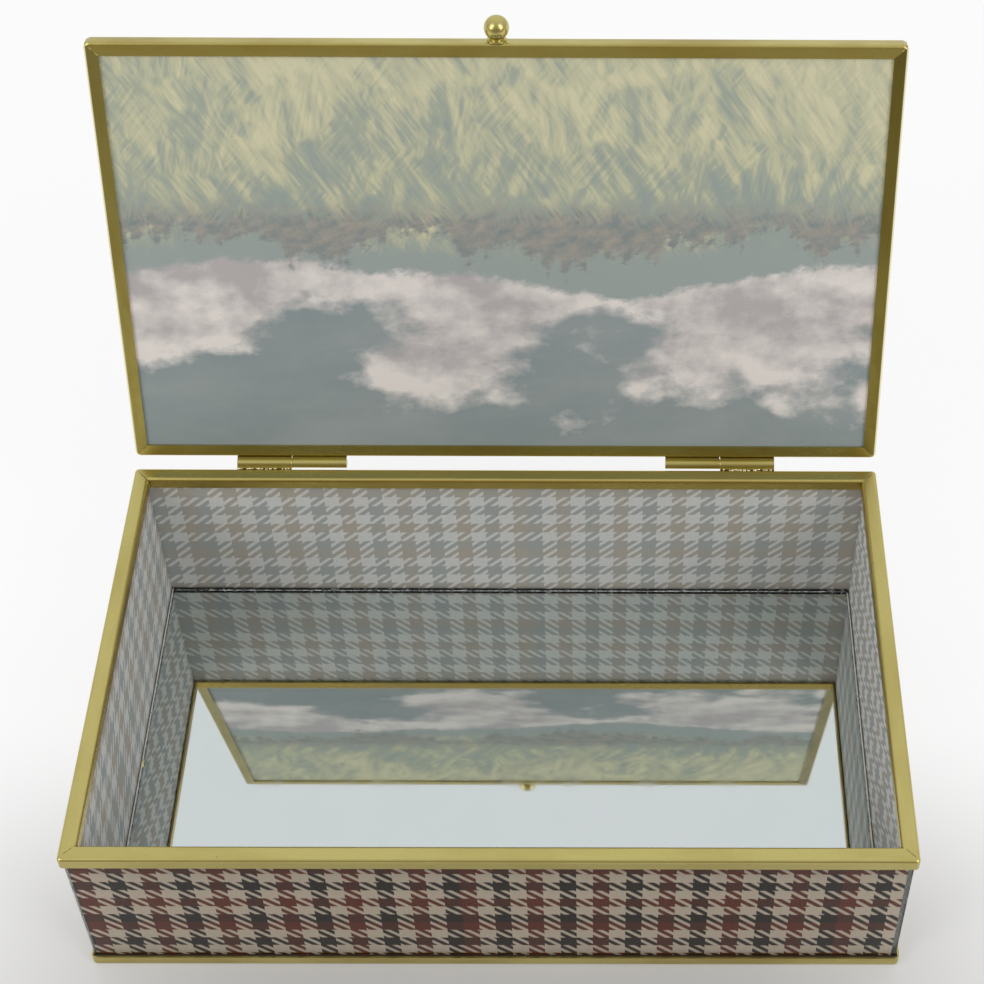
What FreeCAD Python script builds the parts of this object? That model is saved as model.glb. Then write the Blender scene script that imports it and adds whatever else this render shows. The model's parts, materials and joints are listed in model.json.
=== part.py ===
import FreeCAD, Part
import Sketcher
import os

# A keepsake box: printed glass walls between a brass base and a brass rim, a mirror floor, and a framed
# glass lid on two barrel hinges. The lid is modelled standing open on the stops of its hinges.
# Millimetres. X runs along the front, Y to the back, Z up. The origin is the centre of the underside.

# Driving sizes: cell alias, value, what it is.
SIZES = [
    ("box_width", 240.0, "outside width over the rim"),
    ("box_depth", 143.0, "outside depth over the rim"),
    ("rim_height", 60.0, "table to the top of the rim"),
    ("open_angle", 106.0, "degrees that the lid stands open"),
    ("brass_wall", 0.6, "sheet thickness of the folded brass"),
    ("brass_bend", 1.0, "outside radius of its folds"),
    ("rim_web", 5.0, "top width of the rim channel"),
    ("rim_leg", 4.0, "height of the rim channel"),
    ("rim_round", 1.3, "corner radius of the rim in plan"),
    ("base_inset", 0.2, "base lip set back from the rim"),
    ("base_lip", 4.2, "height of the base lip"),
    ("base_flange", 9.0, "width of the base flange"),
    ("base_round", 1.3, "corner radius of the base in plan"),
    ("sealant_width", 0.4, "gap between the base lip and the glass"),
    ("sealant_proud", 0.3, "sealant standing above the base lip"),
    ("pane_thick", 2.5, "glass of the walls"),
    ("print_thick", 0.3, "printed sheet with its glue"),
    ("print_margin", 0.8, "bare glass at the ends of a printed sheet"),
    ("print_shift", 0.5, "sideways slip of the front printed sheet"),
    ("glue_line", 0.25, "glue between butted walls"),
    ("mirror_thick", 2.0, "mirror tile"),
    ("mirror_gap", 0.3, "play round the mirror tile"),
    ("felt_gap", 0.3, "play between felt and flange"),
    ("lid_thick", 5.0, "height of the lid channel"),
    ("lid_lip", 4.2, "width of the lips of the lid channel"),
    ("lid_round", 1.8, "corner radius of the lid in plan"),
    ("lid_gap", 0.4, "rim to the closed lid"),
    ("lid_glass_thick", 3.2, "glass of the lid"),
    ("lid_glass_gap", 0.4, "play between lid glass and channel web"),
    ("lid_glass_play", 0.15, "play between lid glass and upper lip"),
    ("hinge_share", 0.578, "distance between the splits of the two hinges, as a share of the width"),
    ("hinge_offset", 2.2, "back wall to the hinge axis"),
    ("barrel_radius", 1.6, "outside of a hinge knuckle"),
    ("knuckle_length", 17.5, "one hinge knuckle"),
    ("knuckle_gap", 0.3, "between the two knuckles of a hinge"),
    ("leaf_thick", 0.8, "soldered leaf of a knuckle"),
    ("leaf_height", 3.6, "soldered leaf of a knuckle"),
    ("pin_radius", 0.85, "hinge wire"),
    ("pin_fit", 0.01, "hinge wire held in the body knuckle"),
    ("pin_play", 0.05, "hinge wire turning in the lid knuckle"),
    ("pin_round", 0.3, "rounded ends of the hinge wire"),
    ("stop_length", 4.0, "stop tab behind the body knuckle"),
    ("stop_thick", 0.95, "stop tab"),
    ("stop_play", 0.03, "stop tab to the open lid"),
    ("ball_radius", 3.7, "ball of the knob"),
    ("ball_height", 4.1, "lid front to the middle of the ball"),
    ("neck_radius", 2.2, "neck under the ball"),
    ("collar_radius", 2.9, "collar against the lid"),
    ("collar_thick", 0.6, "collar against the lid"),
    ("tenon_radius", 1.0, "tenon of the knob through the channel web"),
    ("tenon_play", 0.05, "tenon in its hole"),
    ("tenon_proud", 0.2, "tenon standing inside the channel"),
    ("overrun", 1.0, "cutters beyond what they cut"),
    ("edge_search", 0.01, "how near an edge lies to the fold it is taken for"),
]

doc = FreeCAD.newDocument("KeepsakeBox")
sheet = doc.addObject("Spreadsheet::Sheet", "Sizes")
for row, (alias, value, note) in enumerate(SIZES, start=1):
    sheet.set(f"A{row}", alias)
    sheet.set(f"B{row}", str(value))
    sheet.setAlias(f"B{row}", alias)
    sheet.set(f"C{row}", note)
doc.recompute()


def cells(text):
    """Put the sheet's name before every alias in an expression."""
    words = text.replace("(", " ( ").replace(")", " ) ").split()
    aliases = {alias for alias, value, note in SIZES}
    return " ".join("Sizes." + word if word in aliases else word for word in words)


def size(text):
    """Value of an expression over the sheet's aliases."""
    return float(sheet.evalExpression(cells(text)))


def bind(obj, **expressions):
    for name, text in expressions.items():
        obj.setExpression(name, cells(text))


# Lengths worked out from the driving sizes.
PANE_INSET = "( base_inset + brass_wall + sealant_width )"
PRINT_INSET = f"( {PANE_INSET} + pane_thick )"
INSIDE_INSET = f"( {PRINT_INSET} + print_thick )"
SIDE_INSET = f"( {INSIDE_INSET} + glue_line )"
PANE_HEIGHT = "( rim_height - 2 * brass_wall )"
AXIS_HEIGHT = "( rim_height + lid_gap / 2 )"
AXIS_Y = "( box_depth / 2 + hinge_offset )"

X_AXIS = FreeCAD.Vector(1, 0, 0)
Z_AXIS = FreeCAD.Vector(0, 0, 1)


def place(x="0", y="0", z="0", axis=Z_AXIS, angle=0):
    base = FreeCAD.Vector(size(x), size(y), size(z))
    return FreeCAD.Placement(base, FreeCAD.Rotation(axis, angle))


def hinge_swing():
    """Placement that carries a piece from the closed lid to the open one."""
    axis_point = FreeCAD.Vector(0, size(AXIS_Y), size(AXIS_HEIGHT))
    turn = FreeCAD.Rotation(X_AXIS, -size("open_angle"))
    return FreeCAD.Placement(FreeCAD.Vector(), turn, axis_point)


LID_OPEN = hinge_swing()
parts = []


def finish(obj, label, placement):
    """Name a finished sub-part and put it in its place."""
    obj.Label = label
    obj.Placement = placement
    parts.append(obj)


def plane(body, role):
    return next(feature for feature in body.Origin.OriginFeatures if feature.Role == role)


def sketch_on(body, role, name):
    sketch = body.newObject("Sketcher::SketchObject", name)
    sketch.AttachmentSupport = [(plane(body, role), "")]
    sketch.MapMode = "FlatFace"
    return sketch


def dimension(sketch, kind, refs, text):
    """Add a driving dimension and bind it to the sheet."""
    index = sketch.addConstraint(Sketcher.Constraint(kind, *refs, size(text)))
    sketch.setExpression(f"Constraints[{index}]", cells(text))


def close_lines(sketch, points):
    """Closed outline of straight lines through the points."""
    count = len(points)
    vectors = [FreeCAD.Vector(u, v, 0) for u, v in points]
    for index in range(count):
        sketch.addGeometry(Part.LineSegment(vectors[index], vectors[(index + 1) % count]), False)
    for index in range(count):
        sketch.addConstraint(Sketcher.Constraint("Coincident", index, 2, (index + 1) % count, 1))


def stepped_outline(sketch, runs):
    """Outline from the origin in level and upright runs, each (direction, length expression).

    The last two runs close the outline and need no length of their own.
    """
    steps = {"right": (1, 0), "left": (-1, 0), "up": (0, 1), "down": (0, -1)}
    points = [(0.0, 0.0)]
    for direction, text in runs[:-1]:
        step = steps[direction]
        points.append((points[-1][0] + step[0] * size(text), points[-1][1] + step[1] * size(text)))
    close_lines(sketch, points)
    sketch.addConstraint(Sketcher.Constraint("Coincident", 0, 1, -1, 1))
    for index, (direction, text) in enumerate(runs):
        level = direction in ("right", "left")
        sketch.addConstraint(Sketcher.Constraint("Horizontal" if level else "Vertical", index))
        if index < len(runs) - 2:
            dimension(sketch, "Distance", (index,), text)


def rectangle(sketch, left, bottom, width, height):
    """Rectangle placed from the sketch's origin, all four lengths as expressions."""
    u, v, w, h = (size(text) for text in (left, bottom, width, height))
    close_lines(sketch, [(u, v), (u + w, v), (u + w, v + h), (u, v + h)])
    for index, kind in enumerate(("Horizontal", "Vertical", "Horizontal", "Vertical")):
        sketch.addConstraint(Sketcher.Constraint(kind, index))
    if u > 0:
        dimension(sketch, "DistanceX", (-1, 1, 0, 1), left)
    else:
        sketch.addConstraint(Sketcher.Constraint("PointOnObject", 0, 1, -2))
    dimension(sketch, "DistanceY", (-1, 1, 0, 1), bottom)
    dimension(sketch, "Distance", (0,), width)
    dimension(sketch, "Distance", (1,), height)


def circle(sketch, radius, height="0"):
    """Circle on the sketch's upright axis."""
    centre = FreeCAD.Vector(0, size(height), 0)
    sketch.addGeometry(Part.Circle(centre, FreeCAD.Vector(0, 0, 1), size(radius)), False)
    dimension(sketch, "Radius", (0,), radius)
    if size(height) > 0:
        sketch.addConstraint(Sketcher.Constraint("PointOnObject", 0, 3, -2))
        dimension(sketch, "DistanceY", (-1, 1, 0, 3), height)
    else:
        sketch.addConstraint(Sketcher.Constraint("Coincident", 0, 3, -1, 1))


def pad(body, sketch, length, both_ways=False):
    feature = body.newObject("PartDesign::Pad", sketch.Name + "_pad")
    feature.Profile = sketch
    feature.SideType = "Symmetric" if both_ways else "One side"
    bind(feature, Length=length)
    sketch.Visibility = False
    doc.recompute()
    return feature


def cut_through(body, sketch):
    """Pocket both ways from the sketch's plane; it has to take something away."""
    before = body.Shape.Volume
    feature = body.newObject("PartDesign::Pocket", sketch.Name + "_cut")
    feature.Profile = sketch
    feature.SideType = "Symmetric"
    feature.Type = "ThroughAll"
    sketch.Visibility = False
    doc.recompute()
    if body.Shape.Volume >= before:
        raise RuntimeError(f"{feature.Name} cuts nothing")
    return feature


def mitre_outline(sketch, length, depth, round_radius):
    """Waste at one end of a mitred length: a rounded outer corner, then the 45 degree cut."""
    half, width, radius, reach = (size(text) for text in (f"{length} / 2", depth, round_radius, "overrun"))
    diagonal = radius / 2 ** 0.5
    start = FreeCAD.Vector(half - radius, 0, 0)
    centre = FreeCAD.Vector(half - radius, radius, 0)
    corner = FreeCAD.Vector(centre.x + diagonal, centre.y - diagonal, 0)
    inner = FreeCAD.Vector(half - width - reach, width + reach, 0)
    far_top = FreeCAD.Vector(half + reach, inner.y, 0)
    far_low = FreeCAD.Vector(half + reach, -reach, 0)
    near_low = FreeCAD.Vector(start.x, -reach, 0)
    whole = Part.Circle(centre, FreeCAD.Vector(0, 0, 1), radius)
    bend = Part.ArcOfCircle(whole, whole.parameter(start), whole.parameter(corner))
    lines = [(corner, inner), (inner, far_top), (far_top, far_low), (far_low, near_low), (near_low, start)]
    sketch.addGeometry([bend] + [Part.LineSegment(a, b) for a, b in lines], False)
    add = sketch.addConstraint
    for index in range(5):
        add(Sketcher.Constraint("Coincident", index, 2, index + 1, 1))
    add(Sketcher.Constraint("Coincident", 5, 2, 0, 1))
    for kind, index in (("Horizontal", 2), ("Vertical", 3), ("Horizontal", 4), ("Vertical", 5)):
        add(Sketcher.Constraint(kind, index))
    add(Sketcher.Constraint("PointOnObject", 0, 1, -1))
    add(Sketcher.Constraint("PointOnObject", 0, 3, 5))
    add(Sketcher.Constraint("PointOnObject", 0, 3, 1))
    dimension(sketch, "Radius", (0,), round_radius)
    dimension(sketch, "DistanceX", (-1, 1, 0, 1), f"{length} / 2 - {round_radius}")
    dimension(sketch, "DistanceY", (-1, 1, 1, 2), f"{depth} + overrun")
    dimension(sketch, "DistanceX", (1, 2, 0, 3), f"{depth} + overrun - {round_radius}")
    dimension(sketch, "DistanceX", (-1, 1, 2, 2), f"{length} / 2 + overrun")
    dimension(sketch, "Distance", (5,), "overrun")


def round_folds(body, base, length, folds):
    """Round the long outside folds, each given by its (y, z) in the body's own frame."""
    names = []
    for number, edge in enumerate(base.Shape.Edges, start=1):
        box = edge.BoundBox
        for y, z in folds:
            off = max(abs(box.Center.y - size(y)), abs(box.Center.z - size(z)))
            if box.XLength > size(length) / 2 and off < size("edge_search"):
                names.append(f"Edge{number}")
    if len(names) != len(folds):
        raise RuntimeError(f"{body.Name}: {len(names)} folds found")
    fillet = body.newObject("PartDesign::Fillet", body.Name + "_folds")
    fillet.Base = (base, names)
    bind(fillet, Radius="brass_bend")
    doc.recompute()


def mitred_length(name, runs, length, depth, round_radius, folds):
    """One mitred length of folded brass along X, its outside on the XZ plane."""
    body = doc.addObject("PartDesign::Body", name)
    section = sketch_on(body, "YZ_Plane", name + "_section")
    stepped_outline(section, runs)
    pad(body, section, length, both_ways=True)
    waste = sketch_on(body, "XY_Plane", name + "_mitre")
    mitre_outline(waste, length, depth, round_radius)
    cut = cut_through(body, waste)
    both_ends = body.newObject("PartDesign::Mirrored", name + "_ends")
    both_ends.Originals = [cut]
    both_ends.MirrorPlane = (plane(body, "YZ_Plane"), [""])
    body.Tip = both_ends
    doc.recompute()
    round_folds(body, both_ends, length, folds)
    return body


def four_sides(inset, z):
    """Side name, length, and placement of a mitred length on each side of the box."""
    width = f"box_width - 2 * {inset}"
    depth = f"box_depth - 2 * {inset}"
    return [
        ("front", width, place(y=f"0 - ( {depth} ) / 2", z=z)),
        ("right", depth, place(x=f"( {width} ) / 2", z=z, angle=90)),
        ("back", width, place(y=f"( {depth} ) / 2", z=z, angle=180)),
        ("left", depth, place(x=f"0 - ( {width} ) / 2", z=z, angle=270)),
    ]


def slab(name, width, depth, height, x, y, z, label=None, swing=FreeCAD.Placement()):
    """A plain sheet, centred on x and y and standing on z."""
    block = doc.addObject("Part::Box", name)
    bind(block, Length=width, Width=depth, Height=height)
    corner = place(f"{x} - ( {width} ) / 2", f"{y} - ( {depth} ) / 2", z)
    if label:
        finish(block, label, swing.multiply(corner))
    else:
        block.Placement = corner
    return block


# Base: four lengths of angle, the lip outside and the flange under the glass.
BASE_RUNS = [
    ("right", "base_flange"),
    ("up", "brass_wall"),
    ("left", "base_flange - brass_wall"),
    ("up", "base_lip - brass_wall"),
    ("left", "brass_wall"),
    ("down", "base_lip"),
]
for side, length, placement in four_sides("base_inset", "0"):
    angle_length = mitred_length(
        f"base_{side}", BASE_RUNS, f"( {length} )", "base_flange", "base_round", [("0", "0")]
    )
    finish(angle_length, f"base_angle_{side}", placement)

# Walls: the front and back panes run the full width, the side panes butt between them.
WALL_WIDTH = f"( box_width - 2 * {PANE_INSET} )"
WALL_DEPTH = f"( box_depth - 2 * {SIDE_INSET} )"
FRONT_Y = f"( box_depth / 2 - {PANE_INSET} - pane_thick / 2 )"
SIDE_X = f"( box_width / 2 - {PANE_INSET} - pane_thick / 2 )"
FRONT_PRINT_Y = f"( box_depth / 2 - {PRINT_INSET} - print_thick / 2 )"
SIDE_PRINT_X = f"( box_width / 2 - {PRINT_INSET} - print_thick / 2 )"
PRINT_WIDTH = f"( {WALL_WIDTH} - 2 * print_margin )"
for side, sign, slip in (("front", "0 -", "( 0 - print_shift )"), ("back", "0 +", "0")):
    y = f"( {sign} {FRONT_Y} )"
    slab(f"glass_{side}", WALL_WIDTH, "pane_thick", PANE_HEIGHT, "0", y, "brass_wall", f"pane_{side}")
    y = f"( {sign} {FRONT_PRINT_Y} )"
    slab(f"paper_{side}", PRINT_WIDTH, "print_thick", PANE_HEIGHT, slip, y, "brass_wall", f"print_{side}")
for side, sign in (("left", "0 -"), ("right", "0 +")):
    x = f"( {sign} {SIDE_X} )"
    slab(f"glass_{side}", "pane_thick", WALL_DEPTH, PANE_HEIGHT, x, "0", "brass_wall", f"pane_{side}")
    x = f"( {sign} {SIDE_PRINT_X} )"
    slab(f"paper_{side}", "print_thick", WALL_DEPTH, PANE_HEIGHT, x, "0", "brass_wall", f"print_{side}")

# Glue lines where the side panes butt against the sheets of the front and back panes.
glue_strips = []
GLUE_Y = f"( box_depth / 2 - {INSIDE_INSET} - glue_line / 2 )"
for number, (x_sign, y_sign) in enumerate((("0 -", "0 -"), ("0 +", "0 -"), ("0 +", "0 +"), ("0 -", "0 +"))):
    x = f"( {x_sign} {SIDE_X} )"
    y = f"( {y_sign} {GLUE_Y} )"
    glue_strips.append(slab(f"glue_{number}", "pane_thick", "glue_line", PANE_HEIGHT, x, y, "brass_wall"))
glue = doc.addObject("Part::Compound", "glue_lines")
glue.Links = glue_strips
finish(glue, "corner_glue", FreeCAD.Placement())

# Sealant in the gap between the base lip and the walls, standing a little above the lip.
SEALANT_HEIGHT = "( base_lip - brass_wall + sealant_proud )"
SEALANT_Y = f"( box_depth / 2 - {PANE_INSET} + sealant_width / 2 )"
SEALANT_X = f"( box_width / 2 - {PANE_INSET} + sealant_width / 2 )"
SIDE_SEALANT = f"( box_depth - 2 * {PANE_INSET} )"
sealant_strips = []
for side, sign in (("front", "0 -"), ("back", "0 +")):
    y = f"( {sign} {SEALANT_Y} )"
    strip = slab(f"bead_{side}", WALL_WIDTH, "sealant_width", SEALANT_HEIGHT, "0", y, "brass_wall")
    sealant_strips.append(strip)
for side, sign in (("left", "0 -"), ("right", "0 +")):
    x = f"( {sign} {SEALANT_X} )"
    strip = slab(f"bead_{side}", "sealant_width", SIDE_SEALANT, SEALANT_HEIGHT, x, "0", "brass_wall")
    sealant_strips.append(strip)
sealant = doc.addObject("Part::Compound", "sealant_beads")
sealant.Links = sealant_strips
finish(sealant, "base_sealant", FreeCAD.Placement())

# Floor: the mirror lies on the flange, with felt under it that fills the flange's opening.
MIRROR_WIDTH = f"( box_width - 2 * {INSIDE_INSET} - 2 * mirror_gap )"
MIRROR_DEPTH = f"( box_depth - 2 * {INSIDE_INSET} - 2 * mirror_gap )"
slab("mirror", MIRROR_WIDTH, MIRROR_DEPTH, "mirror_thick", "0", "0", "brass_wall", "mirror_floor")
FELT_INSET = "( base_inset + base_flange + felt_gap )"
FELT_WIDTH = f"( box_width - 2 * {FELT_INSET} )"
FELT_DEPTH = f"( box_depth - 2 * {FELT_INSET} )"
slab("felt", FELT_WIDTH, FELT_DEPTH, "brass_wall", "0", "0", "0", "base_felt")

# Rim: four lengths of channel turned down over the tops of the walls.
RIM_RUNS = [
    ("right", "brass_wall"),
    ("up", "rim_leg - brass_wall"),
    ("right", "rim_web - 2 * brass_wall"),
    ("down", "rim_leg - brass_wall"),
    ("right", "brass_wall"),
    ("up", "rim_leg"),
    ("left", "rim_web"),
    ("down", "rim_leg"),
]
RIM_FOLDS = [("0", "rim_leg"), ("rim_web", "rim_leg")]
for side, length, placement in four_sides("0", "rim_height - rim_leg"):
    channel = mitred_length(f"channel_{side}", RIM_RUNS, f"( {length} )", "rim_web", "rim_round", RIM_FOLDS)
    finish(channel, f"rim_{side}", placement)

# Lid frame: four lengths of channel open towards the glass, the knob's tenon hole in the front one.
LID_RUNS = [
    ("right", "lid_lip"),
    ("up", "brass_wall"),
    ("left", "lid_lip - brass_wall"),
    ("up", "lid_thick - 2 * brass_wall"),
    ("right", "lid_lip - brass_wall"),
    ("up", "brass_wall"),
    ("left", "lid_lip"),
    ("down", "lid_thick"),
]
LID_FOLDS = [("0", "0"), ("0", "lid_thick")]
for side, length, placement in four_sides("0", "rim_height + lid_gap"):
    rail = mitred_length(f"rail_{side}", LID_RUNS, f"( {length} )", "lid_lip", "lid_round", LID_FOLDS)
    if side == "front":
        hole = sketch_on(rail, "XZ_Plane", "tenon_hole")
        circle(hole, "tenon_radius + tenon_play", "lid_thick / 2")
        cut_through(rail, hole)
    finish(rail, f"lid_frame_{side}", LID_OPEN.multiply(placement))

# Lid filling: glass against the upper lips, the picture sheet under it.
LID_GLASS_INSET = "( brass_wall + lid_glass_gap )"
LID_GLASS_WIDTH = f"( box_width - 2 * {LID_GLASS_INSET} )"
LID_GLASS_DEPTH = f"( box_depth - 2 * {LID_GLASS_INSET} )"
LID_GLASS_TOP = "( rim_height + lid_gap + lid_thick - brass_wall - lid_glass_play )"
for name, label, thick, z in (
    ("lid_sheet", "lid_glass", "lid_glass_thick", f"{LID_GLASS_TOP} - lid_glass_thick"),
    ("lid_paper", "lid_picture", "print_thick", f"{LID_GLASS_TOP} - lid_glass_thick - print_thick"),
):
    slab(name, LID_GLASS_WIDTH, LID_GLASS_DEPTH, thick, "0", "0", z, label, LID_OPEN)

# Knob: a turned ball on a neck and collar, its tenon through the web of the front rail.
ball = doc.addObject("Part::Sphere", "knob_ball")
bind(ball, Radius="ball_radius")
ball.Placement = place(z="ball_height")
turned = [ball]
for name, radius, height, z in (
    ("knob_neck", "neck_radius", "ball_height", "0"),
    ("knob_collar", "collar_radius", "collar_thick", "0"),
    ("knob_tenon", "tenon_radius", "brass_wall + tenon_proud", "0 - brass_wall - tenon_proud"),
):
    step = doc.addObject("Part::Cylinder", name)
    bind(step, Radius=radius, Height=height)
    step.Placement = place(z=z)
    turned.append(step)
knob = doc.addObject("Part::MultiFuse", "knob")
knob.Shapes = turned
knob.Refine = True
KNOB_PLACE = place(y="0 - box_depth / 2", z="rim_height + lid_gap + lid_thick / 2", axis=X_AXIS, angle=90)
finish(knob, "lid_knob", LID_OPEN.multiply(KNOB_PLACE))


def knuckle(name, bore, has_stop):
    """A hinge half along X: barrel round the axis, leaf towards +Y and +Z, and for the body a stop tab."""
    body = doc.addObject("PartDesign::Body", name)
    barrel = sketch_on(body, "YZ_Plane", name + "_barrel")
    circle(barrel, "barrel_radius")
    pad(body, barrel, "knuckle_length")
    leaf = sketch_on(body, "YZ_Plane", name + "_leaf")
    rectangle(leaf, "hinge_offset - leaf_thick", "0", "leaf_thick", "leaf_height")
    pad(body, leaf, "knuckle_length")
    if has_stop:
        stop = sketch_on(body, "YZ_Plane", name + "_stop")
        turn = FreeCAD.Rotation(Z_AXIS, 270 - size("open_angle"))
        stop.AttachmentOffset = FreeCAD.Placement(FreeCAD.Vector(), turn)
        rectangle(stop, "0", "hinge_offset - stop_play - stop_thick", "stop_length", "stop_thick")
        pad(body, stop, "knuckle_length")
    hole = sketch_on(body, "YZ_Plane", name + "_bore")
    circle(hole, bore)
    cut_through(body, hole)
    return body


# Hinges: on each, the body's knuckle lies outside and the lid's knuckle inside, on one wire pin.
AXIS = {"y": AXIS_Y, "z": AXIS_HEIGHT}
SPLIT = "( box_width * hinge_share / 2 )"
NEAR = f"( {SPLIT} + knuckle_gap / 2 )"
FAR = f"( {NEAR} + knuckle_length )"
LID_FAR = f"( {SPLIT} - knuckle_gap / 2 )"
LID_NEAR = f"( {LID_FAR} - knuckle_length )"
for side, body_x, lid_x, pin_x in (
    ("left", f"0 - {FAR}", f"0 - {LID_NEAR}", f"0 - {FAR}"),
    ("right", NEAR, LID_FAR, LID_NEAR),
):
    fixed = knuckle(f"fixed_{side}", "pin_radius + pin_fit", has_stop=True)
    finish(fixed, f"hinge_{side}_body_knuckle", place(x=body_x, axis=X_AXIS, angle=180, **AXIS))
    moving = knuckle(f"moving_{side}", "pin_radius + pin_play", has_stop=False)
    finish(moving, f"hinge_{side}_lid_knuckle", LID_OPEN.multiply(place(x=lid_x, angle=180, **AXIS)))
    pin = doc.addObject("PartDesign::Body", f"wire_{side}")
    wire = sketch_on(pin, "YZ_Plane", f"wire_{side}_section")
    circle(wire, "pin_radius")
    stock = pad(pin, wire, "2 * knuckle_length + knuckle_gap")
    ends = pin.newObject("PartDesign::Fillet", f"wire_{side}_ends")
    round_ends = [f"Edge{n}" for n, edge in enumerate(stock.Shape.Edges, start=1) if edge.Closed]
    ends.Base = (stock, round_ends)
    bind(ends, Radius="pin_round")
    finish(pin, f"hinge_{side}_pin", place(x=pin_x, **AXIS))

doc.recompute()
for obj in doc.Objects:
    if {"Invalid", "Error"} & set(obj.State):
        raise RuntimeError(f"{obj.Label} failed: {obj.State}")
for part in parts:
    if part.Shape.isNull() or not part.Shape.isValid():
        raise RuntimeError(f"{part.Label} has no valid shape")

os.makedirs("parts", exist_ok=True)
for part in parts:
    part.Shape.exportStep(f"parts/{part.Label}.step")
print(f"{len(parts)} sub-parts written")
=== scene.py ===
import json
from math import cos, pi, radians, sin

import bmesh
import bpy
from mathutils import Matrix, Vector


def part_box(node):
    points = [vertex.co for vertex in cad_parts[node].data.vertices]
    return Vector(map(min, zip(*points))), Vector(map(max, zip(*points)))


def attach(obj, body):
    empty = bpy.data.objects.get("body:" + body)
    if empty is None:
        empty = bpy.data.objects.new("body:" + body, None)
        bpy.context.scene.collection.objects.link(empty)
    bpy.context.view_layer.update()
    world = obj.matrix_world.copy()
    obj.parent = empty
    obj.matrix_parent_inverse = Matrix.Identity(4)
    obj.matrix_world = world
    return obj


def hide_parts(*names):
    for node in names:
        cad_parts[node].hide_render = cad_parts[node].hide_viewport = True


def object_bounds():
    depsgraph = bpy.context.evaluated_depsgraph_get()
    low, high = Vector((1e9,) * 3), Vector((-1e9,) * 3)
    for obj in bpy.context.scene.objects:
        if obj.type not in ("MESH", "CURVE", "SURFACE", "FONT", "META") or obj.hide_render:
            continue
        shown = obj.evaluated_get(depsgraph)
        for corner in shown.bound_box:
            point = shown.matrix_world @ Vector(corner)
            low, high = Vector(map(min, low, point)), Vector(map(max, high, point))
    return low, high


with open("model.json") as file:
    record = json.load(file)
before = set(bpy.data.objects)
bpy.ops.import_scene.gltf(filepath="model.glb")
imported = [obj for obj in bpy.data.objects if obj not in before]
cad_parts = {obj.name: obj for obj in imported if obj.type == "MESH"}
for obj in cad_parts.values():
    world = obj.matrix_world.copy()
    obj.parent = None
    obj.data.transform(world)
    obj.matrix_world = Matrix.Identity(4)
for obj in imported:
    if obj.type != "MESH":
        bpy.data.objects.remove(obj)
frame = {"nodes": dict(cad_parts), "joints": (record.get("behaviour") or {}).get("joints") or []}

cad_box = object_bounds()
nodes = frame["nodes"]
scene = bpy.context.scene
SIDES = ("front", "back", "left", "right")
MM = 0.001


# Base of the box: four mitred lengths of folded brass angle, soldered at the corners.
# The sheet is rolled, then brushed along its length, and has gone a little dull and patchy in use.
BRASS_BRIGHT = (0.575, 0.495, 0.178, 1.0)
BRASS_DULL = (0.45, 0.36, 0.112, 1.0)
BRASS_NICK = (0.20, 0.15, 0.05, 1.0)
# Pale colour of a painted highlight along the folds of the lid's side rails.
BRASS_PAINTED_HIGHLIGHT = (0.88, 0.83, 0.60, 1.0)
CLEAN, WORN_AND_SHADED = 0.7, 1.5
BRUSHED_ACROSS, BRUSHED_BACK = (0.0, 0.0, 0.0), (0.0, 0.0, pi / 2)
TINT_FADE, HIGHLIGHT_FADE = 0.04 * MM, 0.4 * MM
# Painted shade on the rim's inner legs: their colour is multiplied by this tint inside these distances from the
# middle.
RIM_INSIDE_SHADE = (1.0, 0.86, 0.62, 1.0)
FRONT_RIM_INSIDE, SIDE_RIM_INSIDE = 66.9 * MM, 115.4 * MM


def feed(tree, socket, value):
    """Link a socket into an input, or set the input to a plain value."""
    if isinstance(value, bpy.types.NodeSocket):
        tree.links.new(value, socket)
    else:
        socket.default_value = value


def add(tree, kind, values=None, **settings):
    """Add a node; values are numbers or sockets for its inputs, settings are its own options."""
    node = tree.nodes.new(kind)
    for name, value in settings.items():
        setattr(node, name, value)
    for key, value in (values or {}).items():
        feed(tree, node.inputs[key], value)
    return node


def calc(tree, operation, a, b=0.0):
    """One Math node."""
    return add(tree, "ShaderNodeMath", {0: a, 1: b}, operation=operation).outputs[0]


def ramp(tree, value, low, high, out_low=0.0, out_high=1.0):
    """Clamped straight-line change from out_low to out_high."""
    values = {"Value": value, "From Min": low, "From Max": high, "To Min": out_low, "To Max": out_high}
    return add(tree, "ShaderNodeMapRange", values).outputs["Result"]


def blend_colour(tree, factor, a, b, blend_type="MIX"):
    """Mix two colours."""
    node = add(tree, "ShaderNodeMix", data_type="RGBA", blend_type=blend_type)
    for key, value in ((0, factor), (6, a), (7, b)):
        feed(tree, node.inputs[key], value)
    return node.outputs[2]


def noise(tree, vector, scale, detail=2.0, roughness=0.5):
    """Plain noise in about 0 to 1."""
    values = {"Vector": vector, "Scale": scale, "Detail": detail, "Roughness": roughness}
    return add(tree, "ShaderNodeTexNoise", values).outputs["Fac"]


def stretch(tree, vector, factors, turn=(0.0, 0.0, 0.0)):
    """Turn a vector, then scale each axis by its own factor."""
    turned = add(tree, "ShaderNodeMapping", {"Vector": vector, "Rotation": turn}).outputs[0]
    return add(tree, "ShaderNodeMapping", {"Vector": turned, "Scale": factors}).outputs[0]


def new_group(name, inputs, outputs):
    """A shader node group with its named sockets; gives the tree, its input node and its output node."""
    tree = bpy.data.node_groups.new(name, "ShaderNodeTree")
    for label, kind in inputs:
        tree.interface.new_socket(label, in_out="INPUT", socket_type=kind)
    for label, kind in outputs:
        tree.interface.new_socket(label, in_out="OUTPUT", socket_type=kind)
    return tree, tree.nodes.new("NodeGroupInput"), tree.nodes.new("NodeGroupOutput")


def use_group(tree, group, values):
    """Place a node group in a material."""
    node = tree.nodes.new("ShaderNodeGroup")
    node.node_tree = group
    for key, value in values.items():
        feed(tree, node.inputs[key], value)
    return node.outputs


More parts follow.
